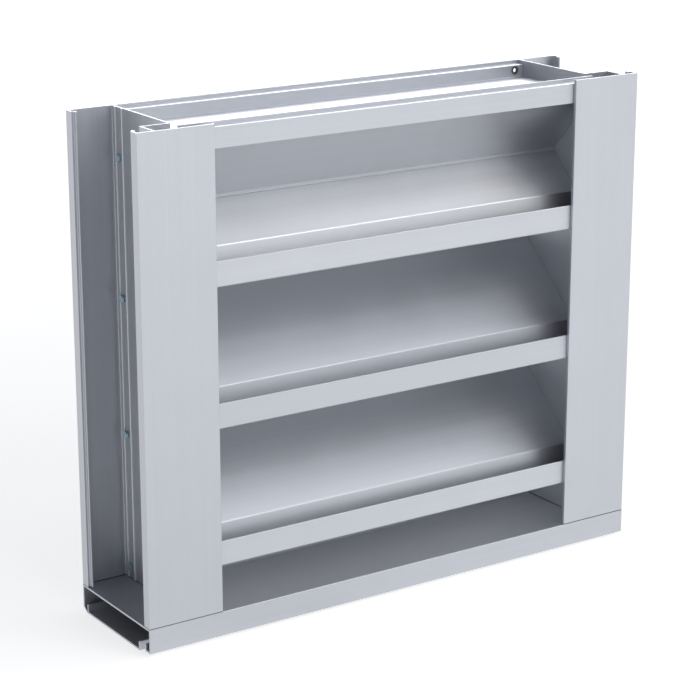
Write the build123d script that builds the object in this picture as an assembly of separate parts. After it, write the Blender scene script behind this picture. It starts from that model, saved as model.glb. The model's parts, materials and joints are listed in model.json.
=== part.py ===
from build123d import *
import os
from math import cos, radians, sin, tan

# Storm louver with drainable blades, cut from aluminium extrusions.
# Millimetres, +Z up, the weather side faces -Y, the origin is under the middle of the base.
# A station is a distance backwards from the front face of the jambs.

# Frame
overall_width = 636.0
depth = 150.0
wall = 2.0
edge_bevel = 0.4

# Sill extrusion: a box with an open fixing slot below and an upstand at the rear
sill_height = 31.0
sill_flange_lift = 4.0
sill_front_hook = 11.0
sill_hook_lip = 8.5
sill_base_front = 23.0
sill_base_lip = 10.5
sill_rear_slant = 8.0
sill_upstand = 20.7

# Jamb extrusion: a wide front flange, a drain pocket behind it, a web and a rear flange
front_flange = 88.0
rear_flange = 54.0
flange_return = 4.0
pocket_outer = 19.5
pocket_depth = 30.0
jamb_hook_depth = 12.0
jamb_hook_step = 3.0
jamb_hook_leg = 4.5
bead_radius = 1.6
bead_clearance = 1.0

# Blade extrusion: a nose, a gutter, an inclined leg and a hooked rear edge
blade_names = ("lower_blade", "middle_blade", "upper_blade")
blade_pitch = 151.0
lower_nose_height = 77.5
nose_height = 27.5
nose_radius = 1.8
gutter_back = 37.0
gutter_lean = 12.0
leg_start = 6.4
blade_angle = 42.4
blade_bend_radius = 2.5
blade_rear_setback = 8.0
blade_shelf = 9.0
blade_rear_hook = 13.0
front_port_inset = 4.0
rear_port_inset = 3.0

# Head extrusion: a channel open upwards, with a drip in front and a ledge on each flange
head_space = 141.5
head_ledge_drop = 4.3
head_front_ledge = 9.0
head_floor_drop = 18.0
head_front_height = 22.0
head_rear_ledge = 10.0
head_port_front = 45.0
head_port_rear = 88.0
head_fixing_hole = 5.0
head_fixing_inset = 12.0
head_fixing_rise = 8.0

# Head baffle extrusion: closes the space between the head and the upper blade
baffle_angle = 46.5
baffle_setback = 11.0
baffle_flange = 20.0
baffle_foot = 3.0

# Screws, and the ports along the extrusions that they cut into
screw_diameter = 4.8
screw_length = 18.0
screw_head_flats = 8.0
screw_head_height = 3.8
port_fit = 0.1
port_wall = 1.6
port_bite = 0.5
port_slot = 2.6
hole_clearance = 0.5

# Clearances between members
front_clearance = 0.3
end_clearance = 0.3

# Sides of a line on which a wall can lie
LEFT = 1
RIGHT = -1

# Heights and stations that follow from the sizes above
jamb_length = lower_nose_height + blade_pitch * (len(blade_names) - 1) + head_space
jamb_top = sill_height + jamb_length
member_front = flange_return + front_clearance
member_length = overall_width - 2 * rear_flange - 2 * end_clearance
drill_length = 4 * wall
web_outer = rear_flange - wall
blade_slope = tan(radians(blade_angle))
gutter_floor_back = gutter_back - (nose_height + leg_start) * tan(radians(gutter_lean))
wall_rise = wall / cos(radians(blade_angle))
leg_rise = leg_start + wall_rise
hook_rear = depth - blade_rear_setback
shelf_front = hook_rear - wall - blade_shelf
shelf_bottom = leg_start + (shelf_front - gutter_back) * blade_slope
head_ledge = jamb_top - head_ledge_drop
head_floor = jamb_top - head_floor_drop
head_soffit = head_floor - wall
screw_head_corners = screw_head_flats / cos(radians(30))
port_radius = (screw_diameter + port_fit) / 2 + port_wall
port_reach = port_radius - port_bite
rear_port = (shelf_front + rear_port_inset, shelf_bottom - port_reach)
front_port = (
    gutter_back + front_port_inset + port_reach * sin(radians(blade_angle)),
    leg_start + front_port_inset * blade_slope - port_reach * cos(radians(blade_angle)),
)
upstand_top = sill_height + sill_upstand
upstand_port = (rear_port[0], upstand_top - wall - port_reach)


def nose_top(index):
    """Height of a blade's nose, counted from the lower blade."""
    return sill_height + lower_nose_height + blade_pitch * index


def leg_station(height):
    """Station at which a blade leg's upper face reaches a height above the blade's nose."""
    return gutter_back + (height - leg_rise) / blade_slope


def strip(points, side):
    """A wall of even thickness to the LEFT or RIGHT of a line, with mitred corners."""
    corners = [Vector(*point) for point in points]
    normals = [(b - a).normalized().rotate(Axis.Z, side * 90) for a, b in zip(corners, corners[1:])]
    mitres = [(a + b) / (1 + a.dot(b)) for a, b in zip(normals, normals[1:])]
    shifts = [normals[0], *mitres, normals[-1]]
    inner = [corner + shift * wall for corner, shift in zip(corners, shifts)]
    return make_face(Polyline(*corners, *reversed(inner), close=True).edges())


def eased(section):
    """The section with the broken corners of an extrusion."""
    return chamfer(section.vertices(), edge_bevel)


def screw_port(centre, mouth_angle):
    """An open round port along an extrusion, with its mouth turned to an angle."""
    mouth = Rot(0, 0, mouth_angle) * Pos(port_radius, 0) * Rectangle(2 * port_radius, port_slot)
    ring = Circle(port_radius) - Circle(port_radius - port_wall) - mouth
    return Pos(*centre) * ring


def crosswise(section, length):
    """Extrude a section of stations and heights along the width of the louver."""
    return extrude(Plane.YZ.offset(-length / 2) * Pos(-depth / 2, 0) * section, amount=length)


def make_sill():
    hook_lip = sill_front_hook - wall
    base_lip = sill_base_front + wall
    body = strip(
        [
            (hook_lip, sill_flange_lift + sill_hook_lip),
            (hook_lip, sill_flange_lift + wall),
            (wall, sill_flange_lift + wall),
            (wall, sill_height - wall),
            (depth - wall, sill_height - wall),
            (depth - wall, sill_flange_lift + wall),
            (depth - sill_rear_slant, wall),
            (base_lip, wall),
            (base_lip, sill_base_lip),
        ],
        LEFT,
    )
    rear_lip = Pos(depth - sill_rear_slant - wall, sill_base_lip / 2) * Rectangle(wall, sill_base_lip)
    bend = leg_station(shelf_bottom + wall)
    upstand = strip(
        [
            (bend - sill_upstand / blade_slope, sill_height),
            (bend, upstand_top),
            (hook_rear, upstand_top),
            (hook_rear, upstand_top - blade_rear_hook),
        ],
        RIGHT,
    )
    port = screw_port(upstand_port, -90)
    box = body + rear_lip
    return crosswise(eased(box), overall_width) + crosswise(eased(box + upstand) + port, member_length)


def make_jamb(hand):
    flange = strip(
        [
            (front_flange, flange_return),
            (front_flange, 0),
            (0, 0),
            (0, jamb_hook_depth),
            (jamb_hook_step, jamb_hook_depth),
            (jamb_hook_step, jamb_hook_depth + jamb_hook_leg),
        ],
        RIGHT,
    )
    web = strip(
        [
            (pocket_outer, wall / 2),
            (pocket_outer, pocket_depth),
            (web_outer, pocket_depth),
            (web_outer, depth - wall),
            (wall, depth - wall),
            (wall, depth - jamb_hook_depth + wall),
            (jamb_hook_step + wall, depth - jamb_hook_depth + wall),
            (jamb_hook_step + wall, depth - jamb_hook_depth - jamb_hook_leg),
        ],
        RIGHT,
    )
    section = eased(flange + web)
    bead_offset = screw_head_corners / 2 + bead_clearance + bead_radius
    for station in (rear_port[0] - bead_offset, rear_port[0] + bead_offset):
        section += Pos(web_outer, station) * Circle(bead_radius)
    section = Pos(-overall_width / 2, -depth / 2, sill_height) * section
    if hand == RIGHT:
        section = mirror(section, about=Plane.YZ)
    jamb = extrude(section, amount=jamb_length, dir=(0, 0, 1))
    for station, height in screw_points():
        drill = Cylinder((screw_diameter + hole_clearance) / 2, drill_length, rotation=(0, 90, 0))
        jamb -= Pos(hand * (web_outer - overall_width / 2), station - depth / 2, height) * drill
    return jamb


def make_blade(index):
    section = strip(
        [
            (member_front, 0),
            (member_front, -nose_height),
            (gutter_floor_back, -nose_height),
            (gutter_back, leg_start),
            (shelf_front, shelf_bottom),
            (hook_rear - wall, shelf_bottom),
            (hook_rear - wall, shelf_bottom + wall - blade_rear_hook),
        ],
        LEFT,
    )
    nose = section.vertices().sort_by_distance((member_front, -nose_height))[:1]
    bend = section.vertices().sort_by_distance((gutter_back - wall, leg_start))[:1]
    section = chamfer(section.vertices() - nose - bend, edge_bevel)
    section = fillet(section.vertices().sort_by_distance(nose[0])[0], nose_radius)
    section = fillet(section.vertices().sort_by_distance(bend[0])[0], blade_bend_radius)
    section += screw_port(front_port, blade_angle - 90) + screw_port(rear_port, -90)
    return Pos(0, 0, nose_top(index)) * crosswise(section, member_length)


def make_head():
    front = strip(
        [
            (member_front + head_front_ledge, jamb_top),
            (member_front + head_front_ledge, head_ledge),
            (member_front, head_ledge),
            (member_front, head_ledge - head_front_height),
        ],
        LEFT,
    )
    rear_face = depth - wall - head_rear_ledge
    channel = strip(
        [
            (member_front + wall / 2, head_floor),
            (rear_face, head_floor),
            (rear_face, head_ledge),
            (depth - wall, head_ledge),
            (depth - wall, jamb_top),
        ],
        RIGHT,
    )
    section = eased(front + channel)
    for station in (head_port_front, head_port_rear):
        section += screw_port((station, head_soffit - port_reach), -90)
    head = crosswise(section, member_length)
    for side in (-1, 1):
        drill = Cylinder(head_fixing_hole / 2, drill_length, rotation=(90, 0, 0))
        hole_x = side * (member_length / 2 - head_fixing_inset)
        head -= Pos(hole_x, rear_face - depth / 2, head_floor + head_fixing_rise) * drill
    return head


def baffle_points():
    """The baffle's line: flange end, upper bend, lower bend, and the foot on the blade's leg."""
    slope = tan(radians(baffle_angle))
    nose = nose_top(len(blade_names) - 1)
    foot_at_setback = nose + leg_rise + wall_rise + (baffle_setback - gutter_back) * blade_slope
    run = (head_soffit - foot_at_setback) / (slope + blade_slope)
    bend = (baffle_setback + run, head_soffit - run * slope)
    foot_run = baffle_foot * cos(radians(blade_angle))
    return [
        (baffle_setback + baffle_flange, head_soffit),
        (baffle_setback, head_soffit),
        bend,
        (bend[0] - foot_run, bend[1] - foot_run * blade_slope),
    ]


def baffle_port():
    """Centre of the screw port, on the back of the baffle at half its height."""
    upper, lower = baffle_points()[1:3]
    away = wall + port_reach
    station = (upper[0] + lower[0]) / 2 + away * sin(radians(baffle_angle))
    height = (upper[1] + lower[1]) / 2 + away * cos(radians(baffle_angle))
    return (station, height)


def make_head_baffle():
    section = eased(strip(baffle_points(), LEFT))
    section += screw_port(baffle_port(), 90 - baffle_angle)
    return crosswise(section, member_length)


def blade_screw_points(index):
    nose = nose_top(index)
    return [(station, nose + height) for station, height in (front_port, rear_port)]


def head_screw_points():
    return [(station, head_soffit - port_reach) for station in (head_port_front, head_port_rear)]


def screw_points():
    """Station and height of every screw through one jamb's web."""
    points = [upstand_port, baffle_port()] + head_screw_points()
    for index in range(len(blade_names)):
        points += blade_screw_points(index)
    return points


def make_screw():
    """A hexagon-head screw, its head above z = 0 and its shank below."""
    head = extrude(RegularPolygon(screw_head_corners / 2, 6), amount=screw_head_height)
    return head + Pos(0, 0, -screw_length / 2) * Cylinder(screw_diameter / 2, screw_length)


def make_screws(points):
    """Screws at the given stations and heights through both jambs' webs."""
    screw = make_screw()
    solids = []
    for side in (-1, 1):
        for station, height in points:
            seat_x = side * (overall_width / 2 - web_outer)
            solids.append(Pos(seat_x, station - depth / 2, height) * Rot(0, side * 90, 0) * screw)
    return Compound(children=solids)


def make_parts():
    parts = {
        "sill": make_sill(),
        "left_jamb": make_jamb(LEFT),
        "right_jamb": make_jamb(RIGHT),
        "head": make_head(),
        "head_baffle": make_head_baffle(),
        "sill_screws": make_screws([upstand_port]),
        "head_screws": make_screws(head_screw_points()),
        "baffle_screws": make_screws([baffle_port()]),
    }
    for index, name in enumerate(blade_names):
        parts[name] = make_blade(index)
        parts[name + "_screws"] = make_screws(blade_screw_points(index))
    return parts


os.makedirs("parts", exist_ok=True)
for name, shape in make_parts().items():
    export_step(shape, f"parts/{name}.step")
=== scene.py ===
import json
from math import pi, radians

import bpy
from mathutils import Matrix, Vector


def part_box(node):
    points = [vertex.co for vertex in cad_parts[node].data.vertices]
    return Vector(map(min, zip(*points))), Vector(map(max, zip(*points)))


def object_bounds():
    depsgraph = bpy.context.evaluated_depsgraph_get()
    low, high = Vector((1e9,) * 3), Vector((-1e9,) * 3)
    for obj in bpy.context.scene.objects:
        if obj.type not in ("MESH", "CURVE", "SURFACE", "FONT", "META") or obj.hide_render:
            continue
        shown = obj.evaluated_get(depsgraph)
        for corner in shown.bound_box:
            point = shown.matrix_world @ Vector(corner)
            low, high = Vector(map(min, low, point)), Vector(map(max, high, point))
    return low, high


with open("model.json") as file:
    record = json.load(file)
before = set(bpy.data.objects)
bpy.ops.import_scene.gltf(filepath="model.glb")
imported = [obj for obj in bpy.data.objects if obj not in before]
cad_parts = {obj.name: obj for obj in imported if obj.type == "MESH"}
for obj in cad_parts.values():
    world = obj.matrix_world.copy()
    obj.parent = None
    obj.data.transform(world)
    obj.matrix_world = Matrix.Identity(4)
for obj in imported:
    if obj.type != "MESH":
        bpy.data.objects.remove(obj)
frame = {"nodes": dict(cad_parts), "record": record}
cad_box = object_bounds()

# Storm louver of aluminium extrusions on a pale studio floor. Metres, +Z up, the front faces -Y.

X_AXIS = 0
Y_AXIS = 1
Z_AXIS = 2
ORIGIN = (0.0, 0.0, 0.0)
MILLIMETRE = 0.001

# Camera, at the photo's viewing angle. Angles in degrees, lens and sensor in millimetres.
CAMERA_PLACE = (-1.3275, -1.9581, 0.9650)
CAMERA_YAW = 33.75
CAMERA_TILT = 16.54
CAMERA_LENS = 114.7
CAMERA_SENSOR = 36.0
CAMERA_REACH = 200.0

# Tints of light
WHITE = (1.0, 1.0, 1.0)
WARM = (1.08, 1.0, 0.84)
COOL = (0.975, 1.0, 1.045)

# Floor: matt paper with a glow that only straight looks and reflections see, stronger far from the part
FLOOR_SIZE = 60.0
FLOOR_DROP = 0.0004
FLOOR_COLOUR = (0.55, 0.55, 0.553)
FLOOR_ROUGHNESS = 0.9
FLOOR_SPECULAR = 0.1
FLOOR_GLOW_NEAR = 0.68
FLOOR_GLOW_FAR = 0.90
FLOOR_FADE = (0.6, 2.6)
MOTTLE_SCALE = 3.0
MOTTLE_SHADE = 0.01

# Surroundings: brightness at the horizon and overhead, and the heights of a direction between them
HORIZON_LEVEL = 1.0
CEILING_LEVEL = 0.29
HORIZON_FADE = (0.16, 0.34)

# Soft boxes: the level is the brightness of the face, and "only" names the pieces that a lamp is kept to
MIDDLE = (0, 0, 0.28)
UPPER_PART = (0, 0, 0.5)
LAMPS = {
    "key_right": {
        "place": (1.3, -1.0, 2.1), "target": MIDDLE, "size": (1.8, 1.8), "level": 1.6, "tint": COOL,
    },
    "front_top": {
        "place": (0.3, -2.0, 1.9), "target": MIDDLE, "size": (1.8, 1.2), "level": 3.3, "tint": WHITE,
    },
    "back_top": {
        "place": (0.9, 1.3, 1.7), "target": UPPER_PART, "size": (2.0, 1.2), "level": 6.0, "tint": WHITE,
        "only": ("head", "left_jamb", "right_jamb"),
    },
    "upper_fill": {
        "place": (1.0, -1.2, 1.6), "target": UPPER_PART, "size": (1.0, 1.0), "level": 2.5, "tint": WARM,
        "only": ("head_baffle", "upper_blade"),
    },
    "lower_fill": {
        "place": (1.65, -2.4, 0.85), "target": MIDDLE, "size": (1.5, 1.3), "level": 1.0, "tint": WHITE,
        "only": ("lower_blade",),
    },
}

# Dark card behind the camera, which the right inner corners mirror
FLAG_PLACE = (-1.5, -2.6, 1.3)
FLAG_TARGET = (0.25, 0, 0.4)
FLAG_SIZE = (1.2, 1.2)
FLAG_COLOUR = (0.02, 0.02, 0.022)
FLAG_ROUGHNESS = 0.9

# Aluminium: fine die lines and wider bands, both drawn out along the extrusion, and smudges from handling.
# A shade or a gloss is how far the colour or the roughness strays from its middle.
ALUMINIUM = (0.55, 0.565, 0.60)
ALUMINIUM_ROUGHNESS = 0.50
ALUMINIUM_GLOSS = 0.12
LINE_SCALE = 800.0
BAND_SCALE = 60.0
DRAWN_DETAIL = 3.0
DRAWN_STRETCH = 0.004
DRAWN_SHADE = 0.10
SMUDGE_SCALE = 14.0
SMUDGE_DETAIL = 5.0
SMUDGE_ROUGHNESS = 0.6
SMUDGE_SHADE = 0.06
LINE_BUMP = 0.12
LINE_HEIGHT = 0.0002

# Zinc plate of the screws
ZINC = (0.52, 0.67, 0.75)
ZINC_ROUGHNESS = 0.24
ZINC_GLOSS = 0.08
GRAIN_SCALE = 900.0
GRAIN_DETAIL = 4.0
GRAIN_SHADE = 0.25

# Dark joint line at the jambs' feet: partly dark sealant, partly painted shade of the gap where they stand
# on the sill
JAMB_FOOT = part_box("left_jamb")[0][Z_AXIS]
JOINT_HEIGHT = 0.0009
JOINT_SHADE = 0.22

# Painted shade round the head's fixing holes, so that they look dark, centred halfway through the wall
HEAD_WALL = 0.002
MOUNTS = {mount["name"]: mount for mount in frame["record"]["mounts"]}
FIXINGS = MOUNTS["head_fixings"]
FIXING_X = FIXINGS["dims"]["spacing_x_mm"] / 2 * MILLIMETRE
FIXING_Y = FIXINGS["pos_m"][Y_AXIS] - HEAD_WALL / 2
FIXING_Z = FIXINGS["pos_m"][Z_AXIS]
PAINTED_HOLE_RADII = (0.0036, 0.0065)
PAINTED_HOLE_SHADE = 0.18


def new_material(name):
    """A node material, its node tree and its shader."""
    material = bpy.data.materials.new(name)
    material.use_nodes = True
    tree = material.node_tree
    return material, tree, tree.nodes["Principled BSDF"]


def calculate(tree, operation, *values):
    """The result of one operation on numbers or on other nodes' outputs."""
    node = tree.nodes.new("ShaderNodeMath")
    node.operation = operation
    for socket, value in zip(node.inputs, values):
        if isinstance(value, bpy.types.NodeSocket):
            tree.links.new(value, socket)
        else:
            socket.default_value = value
    return node.outputs[0]


def average(tree, first, second):
    """Halfway between two values."""
    return calculate(tree, "MULTIPLY", calculate(tree, "ADD", first, second), 0.5)


def mapped(tree, source, start, end, reach=(0.0, 1.0), smooth=False):
    """A value that goes from start to end while the source goes through its reach."""
    node = tree.nodes.new("ShaderNodeMapRange")
    node.interpolation_type = "SMOOTHSTEP" if smooth else "LINEAR"
    node.inputs["From Min"].default_value = reach[0]
    node.inputs["From Max"].default_value = reach[1]
    node.inputs["To Min"].default_value = start
    node.inputs["To Max"].default_value = end
    tree.links.new(source, node.inputs["Value"])
    return node.outputs["Result"]


def varied(tree, source, middle, spread):
    """A value that strays by the spread to either side of its middle, as a 0 to 1 source does."""
    return mapped(tree, source, middle - spread, middle + spread)


def tinted(tree, colour, factor):
    """A colour times a factor that varies over the surface."""
    node = tree.nodes.new("ShaderNodeVectorMath")
    node.operation = "SCALE"
    node.inputs[0].default_value = colour
    tree.links.new(factor, node.inputs["Scale"])
    return node.outputs["Vector"]


def own_place(tree):
    """Where a point of the surface lies in its own object."""
    return tree.nodes.new("ShaderNodeTexCoord").outputs["Object"]


def split(tree, vector):
    """The X, Y and Z of a vector."""
    node = tree.nodes.new("ShaderNodeSeparateXYZ")
    tree.links.new(vector, node.inputs["Vector"])
    return node.outputs


def distance(tree, vector, place):
    """How far a vector is from a fixed place."""
    node = tree.nodes.new("ShaderNodeVectorMath")
    node.operation = "DISTANCE"
    node.inputs[1].default_value = place
    tree.links.new(vector, node.inputs[0])
    return node.outputs["Value"]


def noise(tree, scale, detail=2.0, roughness=0.5, stretch=(1.0, 1.0, 1.0)):
    """Noise from 0 to 1 that is fixed to the object, drawn out where its stretch is small."""
    mapping = tree.nodes.new("ShaderNodeMapping")
    mapping.inputs["Scale"].default_value = stretch
    node = tree.nodes.new("ShaderNodeTexNoise")
    node.inputs["Scale"].default_value = scale
    node.inputs["Detail"].default_value = detail
    node.inputs["Roughness"].default_value = roughness
    tree.links.new(own_place(tree), mapping.inputs["Vector"])
    tree.links.new(mapping.outputs["Vector"], node.inputs["Vector"])
    return node.outputs["Fac"]


def sealant_and_gap_shade(tree):
    """Dark at the jambs' feet, where they meet the sill, and 1 above: partly dark sealant, partly painted
    shade of the gap.
    """
    height = split(tree, own_place(tree))["Z"]
    above = calculate(tree, "GREATER_THAN", height, JAMB_FOOT + JOINT_HEIGHT)
    return mapped(tree, above, JOINT_SHADE, 1.0)


def painted_hole_shade(tree):
    """Painted shade round the two fixing holes in the head's rear wall, 1 elsewhere."""
    place = split(tree, own_place(tree))
    folded = tree.nodes.new("ShaderNodeCombineXYZ")
    tree.links.new(calculate(tree, "ABSOLUTE", place["X"]), folded.inputs["X"])
    tree.links.new(place["Y"], folded.inputs["Y"])
    tree.links.new(place["Z"], folded.inputs["Z"])
    away = distance(tree, folded.outputs["Vector"], (FIXING_X, FIXING_Y, FIXING_Z))
    return mapped(tree, away, PAINTED_HOLE_SHADE, 1.0, PAINTED_HOLE_RADII, smooth=True)


def aluminium(name, along, painted_shade=None):
    """Mill-finish extrusion with a satin gloss, drawn along one axis, with painted shade where a mask for
    it is given.
    """
    material, tree, shader = new_material(name)
    shader.inputs["Metallic"].default_value = 1.0
    stretch = [1.0, 1.0, 1.0]
    stretch[along] = DRAWN_STRETCH
    lines = noise(tree, LINE_SCALE, DRAWN_DETAIL, stretch=stretch)
    bands = noise(tree, BAND_SCALE, DRAWN_DETAIL, stretch=stretch)
    smudges = noise(tree, SMUDGE_SCALE, SMUDGE_DETAIL, SMUDGE_ROUGHNESS)
    drawn = average(tree, bands, lines)
    drawn_shade = varied(tree, drawn, 1.0, DRAWN_SHADE)
    smudge_shade = varied(tree, smudges, 1.0, SMUDGE_SHADE)
    shade = calculate(tree, "MULTIPLY", drawn_shade, smudge_shade)
    # A given mask of painted shade darkens the colour
    if painted_shade:
        shade = calculate(tree, "MULTIPLY", shade, painted_shade(tree))
    tree.links.new(tinted(tree, ALUMINIUM, shade), shader.inputs["Base Color"])
    worn = average(tree, drawn, smudges)
    roughness = varied(tree, worn, ALUMINIUM_ROUGHNESS, ALUMINIUM_GLOSS)
    tree.links.new(roughness, shader.inputs["Roughness"])
    bump = tree.nodes.new("ShaderNodeBump")
    bump.inputs["Strength"].default_value = LINE_BUMP
    bump.inputs["Distance"].default_value = LINE_HEIGHT
    tree.links.new(lines, bump.inputs["Height"])
    tree.links.new(bump.outputs["Normal"], shader.inputs["Normal"])
    return material


def zinc():
    """Blue-passivated zinc plate with a fine crystalline grain."""
    material, tree, shader = new_material("zinc_plate")
    shader.inputs["Metallic"].default_value = 1.0
    grain = noise(tree, GRAIN_SCALE, GRAIN_DETAIL)
    shade = varied(tree, grain, 1.0, GRAIN_SHADE)
    roughness = varied(tree, grain, ZINC_ROUGHNESS, ZINC_GLOSS)
    tree.links.new(tinted(tree, ZINC, shade), shader.inputs["Base Color"])
    tree.links.new(roughness, shader.inputs["Roughness"])
    return material


def dress():
    """Give every piece its metal."""
    crosswise = aluminium("aluminium_crosswise", X_AXIS)
    # The jambs' metal is darkened at the feet: dark sealant and painted shade of the joint gap
    upright = aluminium("aluminium_upright", Z_AXIS, sealant_and_gap_shade)
    # The head's metal carries painted shade round its fixing holes
    drilled = aluminium("aluminium_drilled", X_AXIS, painted_hole_shade)
    plated = zinc()
    for name, piece in frame["nodes"].items():
        if name.endswith("_screws"):
            metal = plated
        elif name.endswith("_jamb"):
            metal = upright
        elif name == "head":
            metal = drilled
        else:
            metal = crosswise
        piece.data.materials.clear()
        piece.data.materials.append(metal)


def seen_or_mirrored(tree):
    """1 for rays that see a surface straight, in a gloss or through glass, else 0."""
    rays = tree.nodes.new("ShaderNodeLightPath").outputs
    mirrored = calculate(tree, "MAXIMUM", rays["Is Glossy Ray"], rays["Is Transmission Ray"])
    return calculate(tree, "MAXIMUM", rays["Is Camera Ray"], mirrored)


def make_floor():
    """A large sheet of white paper that keeps the louver's shadow."""
    bpy.ops.mesh.primitive_plane_add(size=FLOOR_SIZE, location=(0, 0, cad_box[0][Z_AXIS] - FLOOR_DROP))
    floor = bpy.context.object
    floor.name = "studio_floor"
    material, tree, shader = new_material("studio_paper")
    shader.inputs["Roughness"].default_value = FLOOR_ROUGHNESS
    shader.inputs["Specular IOR Level"].default_value = FLOOR_SPECULAR
    shader.inputs["Emission Color"].default_value = (*WHITE, 1.0)
    mottle = varied(tree, noise(tree, MOTTLE_SCALE), 1.0, MOTTLE_SHADE)
    tree.links.new(tinted(tree, FLOOR_COLOUR, mottle), shader.inputs["Base Color"])
    away = distance(tree, own_place(tree), ORIGIN)
    glow = mapped(tree, away, FLOOR_GLOW_NEAR, FLOOR_GLOW_FAR, FLOOR_FADE, smooth=True)
    shown_glow = calculate(tree, "MULTIPLY", seen_or_mirrored(tree), glow)
    tree.links.new(shown_glow, shader.inputs["Emission Strength"])
    floor.data.materials.append(material)


def make_world():
    """A white backdrop round the horizon under a dimmer ceiling."""
    world = bpy.data.worlds.new("studio")
    bpy.context.scene.world = world
    world.use_nodes = True
    tree = world.node_tree
    background = tree.nodes["Background"]
    background.inputs["Color"].default_value = (*COOL, 1.0)
    direction = tree.nodes.new("ShaderNodeTexCoord").outputs["Generated"]
    height = split(tree, direction)["Z"]
    level = mapped(tree, height, HORIZON_LEVEL, CEILING_LEVEL, HORIZON_FADE, smooth=True)
    tree.links.new(level, background.inputs["Strength"])


def aim(thing, place, target):
    """Put a lamp or a card in its place, facing its target."""
    thing.location = place
    thing.rotation_euler = (Vector(target) - Vector(place)).to_track_quat("-Z", "Y").to_euler()


def make_lamp(name, place, target, size, level, tint, only=()):
    """A soft box that the camera doesn't see."""
    lamp = bpy.data.lights.new(name, "AREA")
    lamp.shape = "RECTANGLE"
    lamp.size, lamp.size_y = size
    lamp.energy = level * pi * size[0] * size[1]
    lamp.color = tint
    holder = bpy.data.objects.new(name, lamp)
    aim(holder, place, target)
    holder.visible_camera = False
    bpy.context.scene.collection.objects.link(holder)
    if only:
        lit = bpy.data.collections.new(name + "_lights")
        for node in only:
            lit.objects.link(frame["nodes"][node])
        holder.light_linking.receiver_collection = lit


def make_flag():
    """A dark card that the camera doesn't see, for what mirrors it. It casts no shadow."""
    bpy.ops.mesh.primitive_plane_add(size=1.0)
    flag = bpy.context.object
    flag.name = "camera_flag"
    flag.scale = (*FLAG_SIZE, 1.0)
    aim(flag, FLAG_PLACE, FLAG_TARGET)
    material, _, shader = new_material("black_card")
    shader.inputs["Base Color"].default_value = (*FLAG_COLOUR, 1.0)
    shader.inputs["Roughness"].default_value = FLAG_ROUGHNESS
    flag.data.materials.append(material)
    flag.visible_camera = False
    flag.visible_shadow = False


def make_camera():
    """The camera, level from side to side and with no lens shift."""
    camera = bpy.data.objects.new("camera", bpy.data.cameras.new("camera"))
    camera.location = CAMERA_PLACE
    camera.rotation_euler = (radians(90 - CAMERA_TILT), 0, radians(-CAMERA_YAW))
    camera.data.lens = CAMERA_LENS
    camera.data.sensor_width = CAMERA_SENSOR
    camera.data.clip_end = CAMERA_REACH
    bpy.context.scene.collection.objects.link(camera)
    bpy.context.scene.camera = camera


dress()
make_floor()
make_world()
for lamp_name, lamp_settings in LAMPS.items():
    make_lamp(lamp_name, **lamp_settings)
make_flag()
make_camera()
bpy.context.scene.view_settings.view_transform = "Standard"
